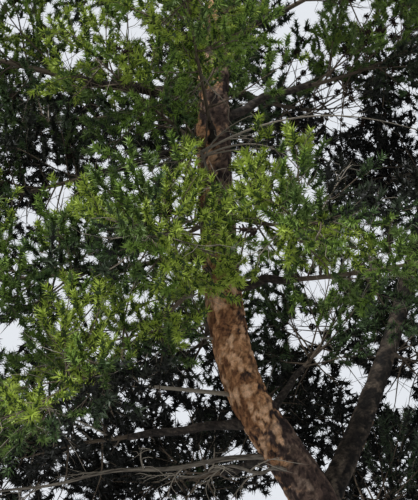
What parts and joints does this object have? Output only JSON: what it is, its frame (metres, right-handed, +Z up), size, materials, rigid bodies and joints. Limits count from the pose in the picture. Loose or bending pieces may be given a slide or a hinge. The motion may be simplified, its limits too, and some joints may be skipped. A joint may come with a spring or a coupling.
{
  "type": "virginia pine",
  "caption": "Whole living pine with a leaning forked trunk, spreading boughs, dead lower limbs and masses of short needles, cut flat at ground level.",
  "frame": {"origin": "centre of the flat cut under the trunk, at ground level", "axes": "+Z up the tree, -Y towards where the picture was taken, +X to the right in the picture"},
  "size_m": [7.793, 5.8042, 13.2852],
  "materials": {
    "bark": "scaly flaking bark, orange-tan plates over brown and purple-grey",
    "bough_bark": "rough grey-brown bark of boughs",
    "dead_wood": "weathered, pale grey, barkless",
    "needles_front": "short stiff needles, yellow-green in the light",
    "needles_back": "short stiff needles, dark green in the shade"
  },
  "bodies": {
    "root": {"bough_back": "bough_bark", "bough_back_left": "bough_bark", "bough_back_low_left": "bough_bark", "bough_back_low_right": "bough_bark", "bough_back_right": "bough_bark", "bough_front": "bough_bark", "bough_front_left": "bough_bark", "bough_front_middle": "bough_bark", "bough_front_right": "bough_bark", "bough_high_back": "bough_bark", "bough_high_left": "bough_bark", "bough_high_right": "bough_bark", "bough_inner_right": "bough_bark", "bough_left": "bough_bark", "bough_left_front": "bough_bark", "bough_low_right": "bough_bark", "bough_mid_left": "bough_bark", "bough_top_front": "bough_bark", "bough_upper_left": "bough_bark", "bough_upper_right": "bough_bark", "dead_bough_low_front": "dead_wood", "dead_bough_low_left": "dead_wood", "dead_bough_snag": "dead_wood", "fork_stem": "bark", "needles_back": "needles_back", "needles_back_left": "needles_back", "needles_back_low_left": "needles_back", "needles_back_low_right": "needles_back", "needles_back_right": "needles_back", "needles_fork_back": "needles_back", "needles_fork_front": "needles_front", "needles_fork_low": "needles_back", "needles_fork_right": "needles_front", "needles_fork_top": "needles_back", "needles_front": "needles_front", "needles_front_left": "needles_front", "needles_front_middle": "needles_front", "needles_front_right": "needles_front", "needles_high_back": "needles_back", "needles_high_left": "needles_front", "needles_high_right": "needles_front", "needles_inner_right": "needles_back", "needles_leader": "needles_back", "needles_left": "needles_back", "needles_left_front": "needles_front", "needles_low_right": "needles_back", "needles_mid_left": "needles_back", "needles_shoulder_back": "needles_back", "needles_shoulder_left": "needles_front", "needles_top_1": "needles_front", "needles_top_2": "needles_back", "needles_top_3": "needles_front", "needles_top_4": "needles_back", "needles_top_5": "needles_back", "needles_top_6": "needles_front", "needles_top_7": "needles_back", "needles_top_front": "needles_front", "needles_upper_left": "needles_front", "needles_upper_right": "needles_back", "trunk": "bark"}
  },
  "joints": []
}
